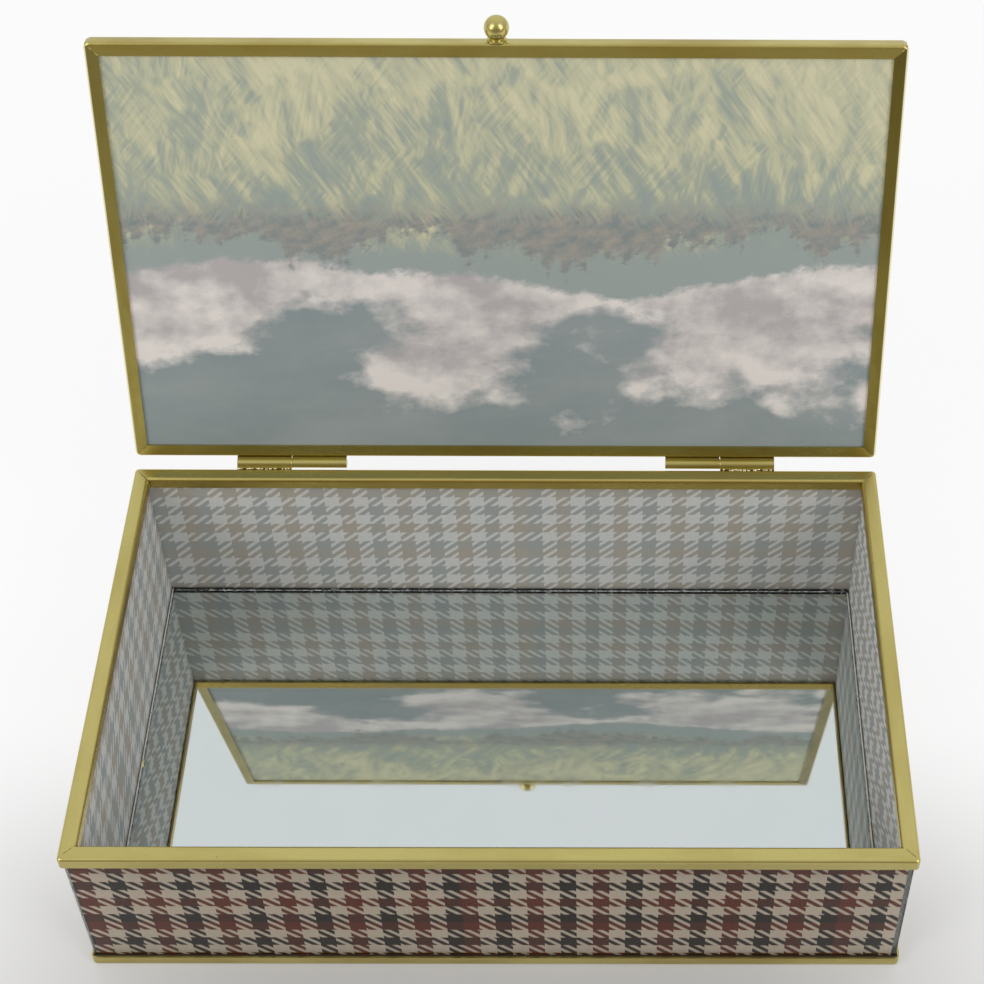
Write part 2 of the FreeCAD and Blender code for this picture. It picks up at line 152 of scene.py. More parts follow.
def new_material(name):
    """An empty material with its output; gives the material, its tree and its Principled BSDF."""
    material = bpy.data.materials.new(name)
    material.use_nodes = True
    tree = material.node_tree
    tree.nodes.clear()
    shader = tree.nodes.new("ShaderNodeBsdfPrincipled")
    output = tree.nodes.new("ShaderNodeOutputMaterial")
    tree.links.new(shader.outputs[0], output.inputs["Surface"])
    return material, tree, shader


def object_coords(tree):
    """Place on the finished piece, in metres."""
    return tree.nodes.new("ShaderNodeTexCoord").outputs["Object"]


def bump(tree, shader, height, strength, distance):
    """Feed a height into the shader's normal."""
    node = add(tree, "ShaderNodeBump", {"Strength": strength, "Distance": distance, "Height": height})
    tree.links.new(node.outputs[0], shader.inputs["Normal"])


def brass_group():
    """Brushed brass: X of the vector runs along the brushing."""
    ins = [("Vector", "NodeSocketVector"), ("Dullness", "NodeSocketFloat")]
    outs = [("Colour", "NodeSocketColor"), ("Roughness", "NodeSocketFloat"), ("Height", "NodeSocketFloat")]
    tree, start, end = new_group("brushed_brass", ins, outs)
    vector = start.outputs["Vector"]
    streaks = noise(tree, stretch(tree, vector, (25.0, 1400.0, 1400.0)), 1.0, 3.0, 0.6)
    hairlines = noise(tree, stretch(tree, vector, (90.0, 7000.0, 7000.0)), 1.0, 2.0, 0.5)
    patches = noise(tree, stretch(tree, vector, (28.0, 75.0, 75.0)), 1.0, 4.0, 0.6)
    dull = calc(tree, "MULTIPLY", ramp(tree, patches, 0.40, 0.75), start.outputs["Dullness"])
    dull = calc(tree, "ADD", dull, ramp(tree, streaks, 0.45, 0.75, 0.0, 0.07))
    spots = add(tree, "ShaderNodeTexVoronoi", {"Vector": vector, "Scale": 55.0, "Randomness": 1.0})
    nick = ramp(tree, spots.outputs["Distance"], 0.010, 0.022, 1.0, 0.0)
    colour = blend_colour(tree, dull, BRASS_BRIGHT, BRASS_DULL)
    colour = blend_colour(tree, calc(tree, "MULTIPLY", nick, 0.5), colour, BRASS_NICK)
    rough = calc(tree, "ADD", ramp(tree, streaks, 0.3, 0.7, 0.25, 0.28), calc(tree, "MULTIPLY", dull, 0.09))
    height = calc(tree, "ADD", calc(tree, "MULTIPLY", hairlines, 0.6), calc(tree, "MULTIPLY", nick, -1.0))
    tree.links.new(colour, end.inputs["Colour"])
    tree.links.new(rough, end.inputs["Roughness"])
    tree.links.new(height, end.inputs["Height"])
    return tree


BRUSHED_BRASS = brass_group()


def brass_material(name, turn, dullness, inside=None, highlight_width=None):
    """Brass brushed along X after the turn. Inside is an axis, how near its zero the brass is tinted darker as
    painted shade, and that tint; the last argument is how wide a band beyond that carries a painted highlight."""
    material, tree, shader = new_material(name)
    along = add(tree, "ShaderNodeMapping", {"Vector": object_coords(tree), "Rotation": turn}).outputs[0]
    finish = use_group(tree, BRUSHED_BRASS, {"Vector": along, "Dullness": dullness})
    colour = finish["Colour"]
    if inside:
        axis, edge, tint = inside
        away = calc(tree, "ABSOLUTE", add(tree, "ShaderNodeSeparateXYZ", {0: along}).outputs[axis])
        # Painted shade: nearer the middle than the edge, the brass colour is multiplied by the tint.
        shaded_part = ramp(tree, away, edge - TINT_FADE, edge + TINT_FADE, 1.0, 0.0)
        if highlight_width:
            # Painted highlight: a pale band just past the shaded part.
            highlight_part = ramp(tree, away, edge + highlight_width, edge + highlight_width + HIGHLIGHT_FADE, 0.85, 0.0)
            colour = blend_colour(tree, highlight_part, colour, BRASS_PAINTED_HIGHLIGHT)
        shaded_colour = blend_colour(tree, 1.0, finish["Colour"], tint, "MULTIPLY")
        colour = blend_colour(tree, shaded_part, colour, shaded_colour)
    tree.links.new(colour, shader.inputs["Base Color"])
    tree.links.new(finish["Roughness"], shader.inputs["Roughness"])
    shader.inputs["Metallic"].default_value = 1.0
    bump(tree, shader, finish["Height"], 0.02, 0.05 * MM)
    return material


def dress(name, material):
    """Give a CAD node a finished material."""
    mesh = nodes[name].data
    mesh.materials.clear()
    mesh.materials.append(material)


BRASS_ALONG_X = brass_material(
    "brass_brushed_across", BRUSHED_ACROSS, CLEAN, (1, FRONT_RIM_INSIDE, RIM_INSIDE_SHADE))
BRASS_ALONG_Y = brass_material(
    "brass_brushed_back", BRUSHED_BACK, CLEAN, (1, SIDE_RIM_INSIDE, RIM_INSIDE_SHADE))
WORN_SHADED_ALONG_X = brass_material("worn_shaded_brass_across", BRUSHED_ACROSS, WORN_AND_SHADED)
WORN_SHADED_ALONG_Y = brass_material("worn_shaded_brass_back", BRUSHED_BACK, WORN_AND_SHADED)
# The base takes the duller copy of the brass: its dull patches are partly wear and partly painted shade.
for side in SIDES:
    dress(f"base_angle_{side}", WORN_SHADED_ALONG_X if side in ("front", "back") else WORN_SHADED_ALONG_Y)


# Sealant: a dark bead run into the gap between the base lip and the glass.
# It has set dull and slightly uneven, with dust in it.
def sealant_material():
    """Lumpy and dark, with a little dust on the high spots."""
    material, tree, shader = new_material("dark_sealant")
    lumps = noise(tree, object_coords(tree), 900.0, 3.0, 0.6)
    colour = blend_colour(tree, ramp(tree, lumps, 0.4, 0.7), (0.010, 0.007, 0.003, 1), (0.035, 0.025, 0.012, 1))
    tree.links.new(colour, shader.inputs["Base Color"])
    tree.links.new(ramp(tree, lumps, 0.3, 0.7, 0.45, 0.75), shader.inputs["Roughness"])
    bump(tree, shader, lumps, 0.5, 0.2 * MM)
    return material


dress("base_sealant", sealant_material())


# Underlay: a sheet of dark felt glued under the mirror so that the box slides on a table.
# Pressed wool, with its fibres lying every way.
def felt_material():
    """Two lays of fibres crossing."""
    material, tree, shader = new_material("pressed_felt")
    vector = object_coords(tree)
    fibres = noise(tree, stretch(tree, vector, (900.0, 3600.0, 900.0), (0.0, 0.0, 0.6)), 1.0, 4.0, 0.7)
    crossing = noise(tree, stretch(tree, vector, (3600.0, 900.0, 900.0), (0.0, 0.0, 0.3)), 1.0, 4.0, 0.7)
    pile = calc(tree, "MAXIMUM", fibres, crossing)
    colour = blend_colour(tree, ramp(tree, pile, 0.45, 0.75), (0.012, 0.014, 0.013, 1), (0.06, 0.065, 0.06, 1))
    tree.links.new(colour, shader.inputs["Base Color"])
    shader.inputs["Roughness"].default_value = 0.95
    shader.inputs["Sheen Weight"].default_value = 0.4
    bump(tree, shader, pile, 0.6, 0.15 * MM)
    return material


dress("base_felt", felt_material())


# Mirror floor: a tile of float glass, silvered and painted on its back, laid on the base flange.
# Along its edges the silvering goes dark in a ragged band, partly lost silver and partly painted shade.
# Its ground arris is pale glass lightened into a painted highlight, with black flecks of painted shade.
# The face carries a few dust marks.
GLASS_BEND = 1.37
MIRROR_ARRIS = 0.6 * MM
CLEAR_OF_FELT = 0.05 * MM


def sheet_mesh(name, low, high, arris=0.0):
    """A flat sheet made where it lies, with an arris taken off its edges if it has one."""
    work = bmesh.new()
    bmesh.ops.create_cube(work, size=1.0)
    low, high = Vector(low), Vector(high)
    size = high - low
    for vertex in work.verts:
        vertex.co = Vector((low[k] + (vertex.co[k] + 0.5) * size[k] for k in range(3)))
    if arris > 0.0:
        bmesh.ops.bevel(work, geom=list(work.edges), offset=arris, segments=2, affect="EDGES", profile=0.5)
    bmesh.ops.recalc_face_normals(work, faces=list(work.faces))
    mesh = bpy.data.meshes.new(name)
    work.to_mesh(mesh)
    work.free()
    return mesh


def new_piece(name, mesh, body, slot, *replaced):
    """Link a finished mesh as a piece that rides a body and stands for CAD nodes."""
    piece = bpy.data.objects.new(name, mesh)
    scene.collection.objects.link(piece)
    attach(piece, body)
    if replaced:
        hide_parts(*replaced)
    return piece


def glass_material(name, tint):
    """Clear float glass with faint wipe marks."""
    material, tree, shader = new_material(name)
    smears = noise(tree, object_coords(tree), 45.0, 5.0, 0.65)
    tree.links.new(ramp(tree, smears, 0.45, 0.8, 0.0, 0.05), shader.inputs["Roughness"])
    colour = blend_colour(tree, ramp(tree, smears, 0.35, 0.7), tint, (0.99, 0.995, 0.99, 1.0))
    tree.links.new(colour, shader.inputs["Base Color"])
    shader.inputs["Transmission Weight"].default_value = 1.0
    shader.inputs["IOR"].default_value = GLASS_BEND
    return material


def silver_material(low, high):
    """Silvering seen through the glass: bright, with a ragged dark band along the edge, partly lost silver and
    partly painted shade.
    """
    material, tree, shader = new_material("mirror_silvering")
    vector = object_coords(tree)
    place = add(tree, "ShaderNodeSeparateXYZ", {0: vector}).outputs
    to_edge = 1.0
    for axis, near, far in ((0, low.x, high.x), (1, low.y, high.y)):
        from_near = calc(tree, "SUBTRACT", place[axis], near)
        from_far = calc(tree, "SUBTRACT", far, place[axis])
        to_edge = calc(tree, "MINIMUM", to_edge, calc(tree, "MINIMUM", from_near, from_far))
    ragged = calc(tree, "MULTIPLY", noise(tree, vector, 900.0, 4.0, 0.7), 1.7 * MM)
    # Painted shade in part: the silvering turns black in a ragged band along the edges.
    dark_edge_band = ramp(tree, calc(tree, "SUBTRACT", to_edge, ragged), -0.6 * MM, -0.2 * MM, 1.0, 0.0)
    specks = add(tree, "ShaderNodeTexVoronoi", {"Vector": vector, "Scale": 28.0}).outputs["Distance"]
    speck = ramp(tree, specks, 0.012, 0.022, 0.5, 0.0)
    colour = blend_colour(tree, calc(tree, "MAXIMUM", dark_edge_band, speck), (0.70, 0.73, 0.73, 1), (0.02, 0.02, 0.018, 1))
    tree.links.new(colour, shader.inputs["Base Color"])
    shader.inputs["Metallic"].default_value = 1.0
    dust = noise(tree, vector, 60.0, 5.0, 0.7)
    tree.links.new(ramp(tree, dust, 0.5, 0.8, 0.015, 0.06), shader.inputs["Roughness"])
    return material


def ground_edge_material():
    """The stone-ground arris: pale glass lightened into a painted highlight, broken by black flecks of painted
    shade, more of them along the back.
    """
    material, tree, shader = new_material("mirror_ground_edge")
    vector = object_coords(tree)
    back = add(tree, "ShaderNodeSeparateXYZ", {0: vector}).outputs[1]
    share = ramp(tree, back, 64 * MM, 66.5 * MM, 0.36, 0.60)
    fleck_noise = noise(tree, vector, 420.0, 5.0, 0.75)
    shade_flecks = ramp(tree, calc(tree, "SUBTRACT", share, fleck_noise), -0.04, 0.04)
    # Painted highlight and shade: pale grey-white broken by black flecks, more of them at the back.
    colour = blend_colour(tree, shade_flecks, (0.86, 0.88, 0.86, 1), (0.012, 0.012, 0.011, 1))
    tree.links.new(colour, shader.inputs["Base Color"])
    tree.links.new(ramp(tree, fleck_noise, 0.3, 0.7, 0.35, 0.6), shader.inputs["Roughness"])
    bump(tree, shader, fleck_noise, 0.4, 0.05 * MM)
    return material


CLEAR_GLASS = glass_material("float_glass", (0.955, 0.985, 0.965, 1.0))
mirror_low, mirror_high = (Vector(corner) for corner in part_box("mirror_floor"))
mirror_low.z += CLEAR_OF_FELT
mirror_mesh = sheet_mesh("mirror_tile", mirror_low, mirror_high, MIRROR_ARRIS)
mirror_mesh.materials.append(CLEAR_GLASS)
mirror_mesh.materials.append(silver_material(mirror_low, mirror_high))
mirror_mesh.materials.append(ground_edge_material())
# The underside is silvered, and every other face but the top is ground.
for polygon in mirror_mesh.polygons:
    if polygon.normal.z < -0.9:
        polygon.material_index = 1
    elif polygon.normal.z < 0.98:
        polygon.material_index = 2
new_piece("mirror_tile", mirror_mesh, "box", "mirror", "mirror_floor")


# Glass walls: four panes of float glass standing on the base flange, butted and glued at the corners.
# Their edges are seamed smooth, and look dark green where they show.
SEAMED_EDGE = 0.2 * MM
for side in SIDES:
    pane_mesh = sheet_mesh(f"wall_glass_{side}", *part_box(f"pane_{side}"), SEAMED_EDGE)
    pane_mesh.materials.append(CLEAR_GLASS)
    pane = new_piece(f"wall_glass_{side}", pane_mesh, "box", "wall_glass", f"pane_{side}")
    pane.visible_shadow = False


# Printed sheets behind the walls: a gun-club houndstooth in rust and slate on oatmeal.
# The paper is printed on the face glued to the glass, which leaves no air between them.
# Inside the box its pale back shows the check faintly.
STRIPE_ACROSS = 4.727 * MM
STRIPE_UP = 4.55 * MM
STRIPES_IN_REPEAT = 23
TWILL_LINES_IN_REPEAT = 28
TWILL_START = 0.72
INTO_GLASS = 0.04 * MM
OUTSIDE_INKS = ((0.505, 0.425, 0.335, 1), (0.104, 0.014, 0.002, 1), (0.011, 0.007, 0.004, 1))
INSIDE_INKS = ((0.725, 0.73, 0.715, 1), (0.48, 0.445, 0.39, 1), (0.42, 0.447, 0.442, 1))


def houndstooth_group():
    """Dyed stripes both ways, hatched by the twill where they cross oatmeal: X and Y count stripes."""
    outs = [("Coloured", "NodeSocketFloat"), ("Rust", "NodeSocketFloat"), ("Yarn", "NodeSocketFloat")]
    tree, start, end = new_group("houndstooth_check", [("Stripes", "NodeSocketVector")], outs)
    place = start.outputs[0]
    across, up = add(tree, "ShaderNodeSeparateXYZ", {0: place}).outputs[:2]

    def stripe(count, rust_first):
        """Whether a stripe is dyed, and whether it is rust; every other stripe is oatmeal."""
        number = calc(tree, "FLOOR", calc(tree, "FLOORED_MODULO", count, STRIPES_IN_REPEAT))
        dyed = calc(tree, "SUBTRACT", 1.0, calc(tree, "FLOORED_MODULO", number, 2.0))
        odd = calc(tree, "FLOORED_MODULO", calc(tree, "FLOOR", calc(tree, "DIVIDE", number, 2.0)), 2.0)
        return dyed, calc(tree, "SUBTRACT", 1.0, odd) if rust_first else odd

    warp, warp_rust = stripe(across, True)
    weft, weft_rust = stripe(up, False)
    slant = calc(tree, "MULTIPLY", calc(tree, "ADD", across, up), TWILL_LINES_IN_REPEAT / STRIPES_IN_REPEAT)
    wave = calc(tree, "SINE", calc(tree, "MULTIPLY", calc(tree, "ADD", slant, TWILL_START), 2 * pi))
    warp_on_top = ramp(tree, wave, -0.5, 0.15)
    both = calc(tree, "MULTIPLY", warp, weft)
    warp_shows = calc(tree, "MULTIPLY", calc(tree, "SUBTRACT", warp, both), warp_on_top)
    weft_on_top = ramp(tree, wave, 0.5, -0.15)
    weft_shows = calc(tree, "MULTIPLY", calc(tree, "SUBTRACT", weft, both), weft_on_top)
    coloured = calc(tree, "ADD", both, calc(tree, "ADD", warp_shows, weft_shows))
    rust = calc(tree, "ADD", calc(tree, "MULTIPLY", warp, warp_rust), calc(tree, "MULTIPLY", weft, weft_rust))
    rust = calc(tree, "DIVIDE", rust, calc(tree, "MAXIMUM", calc(tree, "ADD", warp, weft), 1.0))
    yarn = noise(tree, stretch(tree, place, (5.0, 18.0, 1.0), (0.0, 0.0, pi / 4)), 1.0, 3.0, 0.6)
    for label, value in (("Coloured", coloured), ("Rust", rust), ("Yarn", yarn)):
        tree.links.new(value, end.inputs[label])
    return tree


HOUNDSTOOTH = houndstooth_group()


def print_material(name, inks, roughness, gloss):
    """The check in three inks on paper."""
    ground, rust, slate = inks
    material, tree, shader = new_material(name)
    shader.inputs["Specular IOR Level"].default_value = gloss
    metres = tree.nodes.new("ShaderNodeUVMap")
    metres.uv_map = "cloth"
    per_stripe = (1 / STRIPE_ACROSS, 1 / STRIPE_UP, 1.0)
    stripes = add(tree, "ShaderNodeMapping", {"Vector": metres.outputs[0], "Scale": per_stripe}).outputs[0]
    check = use_group(tree, HOUNDSTOOTH, {"Stripes": stripes})
    ink = blend_colour(tree, check["Rust"], slate, rust)
    colour = blend_colour(tree, check["Coloured"], ground, ink)
    shade = ramp(tree, check["Yarn"], 0.3, 0.7, 0.88, 1.12)
    shade = add(tree, "ShaderNodeCombineColor", {0: shade, 1: shade, 2: shade}).outputs[0]
    tree.links.new(blend_colour(tree, 1.0, colour, shade, "MULTIPLY"), shader.inputs["Base Color"])
    fibres = noise(tree, object_coords(tree), 2600.0, 3.0, 0.6)
    tree.links.new(ramp(tree, fibres, 0.3, 0.7, roughness - 0.08, roughness + 0.08), shader.inputs["Roughness"])
    bump(tree, shader, fibres, 0.15, 0.05 * MM)
    return material


PRINT_FACE = print_material("houndstooth_print", OUTSIDE_INKS, roughness=0.55, gloss=0.0)
PRINT_BACK = print_material("houndstooth_paper_back", INSIDE_INKS, roughness=0.8, gloss=0.35)
# Where the repeat starts on each wall, from the wall's middle as seen from outside, and above the table,
# and how far out of square the sheet was pasted.
REPEAT_START = {"front": -9.0 * MM, "back": -6.75 * MM, "left": 20.0 * MM, "right": -31.0 * MM}
REPEAT_FOOT = {"front": 21.86 * MM, "back": 23.2 * MM, "left": 22.0 * MM, "right": 22.6 * MM}
SHEET_TILT = {"front": 0.001, "back": -0.0058, "left": 0.003, "right": -0.002}
OUTWARD = {"front": (0, -1, 0), "back": (0, 1, 0), "left": (-1, 0, 0), "right": (1, 0, 0)}
for side in SIDES:
    outward = Vector(OUTWARD[side])
    to_the_right = Vector((-outward.y, outward.x, 0.0))
    low, high = (Vector(corner) + outward * INTO_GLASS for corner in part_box(f"print_{side}"))
    paper_mesh = sheet_mesh(f"houndstooth_{side}", low, high)
    cloth = paper_mesh.uv_layers.new(name="cloth")
    for loop in paper_mesh.loops:
        point = paper_mesh.vertices[loop.vertex_index].co
        along = point.dot(to_the_right)
        foot = REPEAT_FOOT[side] + SHEET_TILT[side] * along
        cloth.data[loop.index].uv = (along - REPEAT_START[side], point.z - foot)
    paper_mesh.materials.append(PRINT_FACE)
    paper_mesh.materials.append(PRINT_BACK)
    for polygon in paper_mesh.polygons:
        polygon.material_index = 0 if polygon.normal.dot(outward) > 0.5 else 1
    new_piece(f"houndstooth_{side}", paper_mesh, "box", "check_print", f"print_{side}")


# Corner glue: clear adhesive in the butt joints of the walls, coloured dark as painted shade because no light gets
# into it.
# A few trapped bubbles show as paler points.
def glue_material():
    """Painted shade: dark, with paler bubbles."""
    material, tree, shader = new_material("corner_adhesive")
    vector = object_coords(tree)
    bubbles = add(tree, "ShaderNodeTexVoronoi", {"Vector": vector, "Scale": 500.0}).outputs["Distance"]
    colour = blend_colour(tree, ramp(tree, bubbles, 0.1, 0.2, 1.0, 0.0), (0.03, 0.04, 0.034, 1), (0.2, 0.23, 0.2, 1))
    tree.links.new(colour, shader.inputs["Base Color"])
    tree.links.new(ramp(tree, noise(tree, vector, 300.0), 0.3, 0.7, 0.15, 0.4), shader.inputs["Roughness"])
    return material


dress("corner_glue", glue_material())


# Rim: four mitred lengths of brass channel pressed down over the tops of the walls.
# Same brushed sheet as the base, with fewer dull patches. Its inner legs are tinted darker and yellower as painted
# shade.
for side in SIDES:
    dress(f"rim_{side}", BRASS_ALONG_X if side in ("front", "back") else BRASS_ALONG_Y)


# Mitre solder on the box: a fine line run into each corner joint of the rim and the base and wiped off.
# It follows the outside of the folded sheet, and shows darker than the brass where the joint gapes.
MITRE_LINE = 0.11 * MM
FOLD_RADIUS = 1.0 * MM
RIM_ROUND, RIM_WIDTH, RIM_FOOT, RIM_FOLD_HEIGHT = 1.3 * MM, 5.0 * MM, 56.1 * MM, 59.0 * MM
BASE_SHEET, BASE_LIP, LIP_EASING = 0.6 * MM, 4.2 * MM, 0.1 * MM
BASE_TOE_IN, BASE_TOE_UP = 0.3 * MM, 0.45 * MM


def path_tree(name, kinds):
    """An empty geometry tree with named inputs; gives the tree, those inputs and their identifiers."""
    tree = bpy.data.node_groups.new(name, "GeometryNodeTree")
    identifiers = {}
    for label, kind in kinds.items():
        socket = tree.interface.new_socket(label, in_out="INPUT", socket_type=f"NodeSocket{kind}")
        identifiers[label] = socket.identifier
    tree.interface.new_socket("Made", in_out="OUTPUT", socket_type="NodeSocketGeometry")
    return tree, tree.nodes.new("NodeGroupInput").outputs, identifiers


def made_along(name, points, edges, tree, identifiers, values):
    """Plain mesh of what a geometry tree makes along edges between points."""
    line = bpy.data.meshes.new(name + "_line")
    line.from_pydata(points, edges, [])
    holder = bpy.data.objects.new(name + "_line", line)
    scene.collection.objects.link(holder)
    modifier = holder.modifiers.new(name, "NODES")
    modifier.node_group = tree
    for label, value in values.items():
        modifier[identifiers[label]] = value
    mesh = bpy.data.meshes.new_from_object(holder.evaluated_get(bpy.context.evaluated_depsgraph_get()))
    mesh.name = name
    bpy.data.objects.remove(holder)
    return mesh


def mitre_tree():
    """A fine round line along every chain of edges."""
    tree, given, identifiers = path_tree(
        "mitre_line", {"Joints": "Geometry", "Line radius": "Float", "Solder": "Material"})
    joints = add(tree, "GeometryNodeMeshToCurve", {0: given["Joints"]}).outputs[0]
    circle = {"Resolution": 10, "Radius": given["Line radius"]}
    wire = add(tree, "GeometryNodeCurvePrimitiveCircle", circle).outputs[0]
    line = add(tree, "GeometryNodeCurveToMesh", {0: joints, 1: wire, "Fill Caps": True}).outputs[0]
    smooth = add(tree, "GeometryNodeSetShadeSmooth", {0: line}).outputs[0]
    solid = add(tree, "GeometryNodeRealizeInstances", {0: smooth}).outputs[0]
    made = add(tree, "GeometryNodeSetMaterial", {0: solid, "Material": given["Solder"]}).outputs[0]
    tree.links.new(made, tree.nodes.new("NodeGroupOutput").inputs[0])
    return tree, identifiers


def mitre_lines(name, paths, material):
    """Plain mesh of the lines along each path of points."""
    points, edges = [], []
    for path in paths:
        edges += [(len(points) + k, len(points) + k + 1) for k in range(len(path) - 1)]
        points += path
    values = {"Line radius": MITRE_LINE, "Solder": material}
    return made_along(name, points, edges, MITRE_TREE, MITRE_INPUTS, values)


def mitre_material():
    """Wiped solder, bright in places and dark where the joint gapes."""
    material, tree, shader = new_material("mitre_solder")
    vector = object_coords(tree)
    wiped = noise(tree, vector, 500.0, 3.0, 0.6)
    colour = blend_colour(tree, ramp(tree, wiped, 0.42, 0.62), (0.17, 0.13, 0.045, 1), (0.56, 0.49, 0.22, 1))
    tree.links.new(colour, shader.inputs["Base Color"])
    tree.links.new(ramp(tree, wiped, 0.3, 0.7, 0.45, 0.28), shader.inputs["Roughness"])
    shader.inputs["Metallic"].default_value = 1.0
    return material


def corner_paths(low, high, section):
    """The section's line at all four corners, given as pairs of distance in from the sides, and height."""
    corners = ((low[0], low[1], 1, 1), (high[0], low[1], -1, 1),
               (low[0], high[1], 1, -1), (high[0], high[1], -1, -1))
    return [[(x + sx * inward, y + sy * inward, z) for inward, z in section] for x, y, sx, sy in corners]


def fold(inward, z, start, end, steps=6):
    """Points round a fold about its middle, by angle in degrees from straight outwards."""
    angles = [radians(start + (end - start) * k / steps) for k in range(steps + 1)]
    return [(inward - FOLD_RADIUS * cos(a), z + FOLD_RADIUS * sin(a)) for a in angles]


def corner_inset(round_radius):
    """How far a corner rounded in plan stands in from the square one, across each side."""
    return round_radius * (1 - 0.5 ** 0.5)


MITRE_TREE, MITRE_INPUTS = mitre_tree()
MITRE_SOLDER = mitre_material()
rim_low, rim_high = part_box("rim_left")[0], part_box("rim_right")[1]
rim_corner = corner_inset(RIM_ROUND)
rim_section = [(rim_corner, RIM_FOOT)] + fold(rim_corner + FOLD_RADIUS, RIM_FOLD_HEIGHT, 0, 90)
rim_section += fold(RIM_WIDTH - FOLD_RADIUS, RIM_FOLD_HEIGHT, 90, 180) + [(RIM_WIDTH, RIM_FOOT)]
base_low, base_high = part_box("base_angle_left")[0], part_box("base_angle_right")[1]
base_section = [(rim_corner + BASE_TOE_IN, BASE_TOE_UP), (rim_corner, FOLD_RADIUS),
                (rim_corner, BASE_LIP - LIP_EASING), (BASE_SHEET, BASE_LIP)]
box_mitres = corner_paths(rim_low, rim_high, rim_section) + corner_paths(base_low, base_high, base_section)
new_piece("mitre_solder_box", mitre_lines("mitre_solder_box", box_mitres, MITRE_SOLDER), "box", "brass")


# Hinge halves on the box: rolled brass barrels with their leaves soldered to the back rim.
# The wire pins are cut flush, and their ends have darkened.
DARKENED, RUBBED, POLISHED = 1.6, 0.1, 0.25
PIN_WIRE = brass_material("hinge_wire", BRUSHED_ACROSS, DARKENED)
for side in ("left", "right"):
    dress(f"hinge_{side}_body_knuckle", BRASS_ALONG_X)
    dress(f"hinge_{side}_pin", PIN_WIRE)


# Burrs: the turned-out edge that sawing left on the inner end of each body barrel.
# It all but closes the gap to the lid's barrel, and its edge has been rubbed bright.
# Its section is given in mm, as distance along the axis and distance out from it.
BURR_SECTION = ((-0.15, 0.93), (-0.15, 1.55), (0.05, 1.63), (0.19, 1.63), (0.26, 1.56), (0.26, 0.93))


def burr_mesh(name, ends, axis, steps=48):
    """Thin collars, each swept round the hinge axis; ends gives where each starts and which way it points."""
    work = bmesh.new()
    for x, outward in ends:
        rings = []
        for k in range(steps):
            angle = 2 * pi * k / steps
            rings.append([work.verts.new((x + outward * reach * MM, axis.y + cos(angle) * radius * MM,
                                          axis.z + sin(angle) * radius * MM)) for reach, radius in BURR_SECTION])
        for k in range(steps):
            for j in range(len(BURR_SECTION)):
                after, next_ring = (j + 1) % len(BURR_SECTION), rings[(k + 1) % steps]
                work.faces.new((rings[k][j], rings[k][after], next_ring[after], next_ring[j]))
    bmesh.ops.recalc_face_normals(work, faces=list(work.faces))
    mesh = bpy.data.meshes.new(name)
    work.to_mesh(mesh)
    work.free()
    mesh.shade_smooth()
    return mesh


hinge = next(joint for joint in frame["joints"] if joint["name"] == "lid_hinge")
HINGE_POINT = Vector(hinge["pos_m"])
burr_ends = [(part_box("hinge_left_body_knuckle")[1][0], 1.0), (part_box("hinge_right_body_knuckle")[0][0], -1.0)]
burrs = burr_mesh("knuckle_burrs", burr_ends, HINGE_POINT)
burrs.materials.append(brass_material("rubbed_brass", BRUSHED_ACROSS, RUBBED))
new_piece("knuckle_burrs", burrs, "box", "brass")


# Solder: beads left along the seam between each hinge leaf and the top of the back rim.
# Soft solder, run in by hand and never cleaned up, so the beads differ in size and spacing.
SOLDER_SPACING = 1.5 * MM
SOLDER_BEAD = 0.42 * MM
SOLDER_HEIGHT, SOLDER_BEHIND, SOLDER_ENDS = 59.9 * MM, 0.1 * MM, 1.5 * MM
SOLDER_SEED = 7


def solder_tree():
    """Beads strung along every edge of a mesh."""
    tree, given, identifiers = path_tree("solder_seam", {
        "Seams": "Geometry", "Spacing": "Float", "Bead radius": "Float", "Seed": "Int", "Solder": "Material"})
    seams = add(tree, "GeometryNodeMeshToCurve", {0: given["Seams"]}).outputs[0]
    spaced = {0: seams, "Length": given["Spacing"]}
    points = add(tree, "GeometryNodeCurveToPoints", spaced, mode="LENGTH").outputs[0]

    def random(low, high, extra):
        """A random vector between two others for each bead."""
        seed = add(tree, "FunctionNodeIntegerMath", {0: given["Seed"], 1: extra}).outputs[0]
        node = add(tree, "FunctionNodeRandomValue", {"Seed": seed}, data_type="FLOAT_VECTOR")
        wanted = [socket for socket in node.inputs if socket.name in ("Min", "Max") and socket.enabled]
        wanted[0].default_value, wanted[1].default_value = low, high
        return next(socket for socket in node.outputs if socket.enabled)

    stray = Vector((0.7, 0.1, 0.1)) * MM
    wander = add(tree, "GeometryNodeSetPosition", {0: points, "Offset": random(-stray, stray, 1)})
    bead = add(tree, "GeometryNodeMeshIcoSphere", {"Radius": given["Bead radius"], "Subdivisions": 3}).outputs[0]
    beads = add(tree, "GeometryNodeInstanceOnPoints", {
        0: wander.outputs[0], "Instance": bead,
        "Scale": random((0.7, 0.55, 0.5), (2.6, 0.9, 0.95), 2)}).outputs[0]
    solid = add(tree, "GeometryNodeRealizeInstances", {0: beads}).outputs[0]
    smooth = add(tree, "GeometryNodeSetShadeSmooth", {0: solid}).outputs[0]
    made = add(tree, "GeometryNodeSetMaterial", {0: smooth, "Material": given["Solder"]}).outputs[0]
    tree.links.new(made, tree.nodes.new("NodeGroupOutput").inputs[0])
    return tree, identifiers


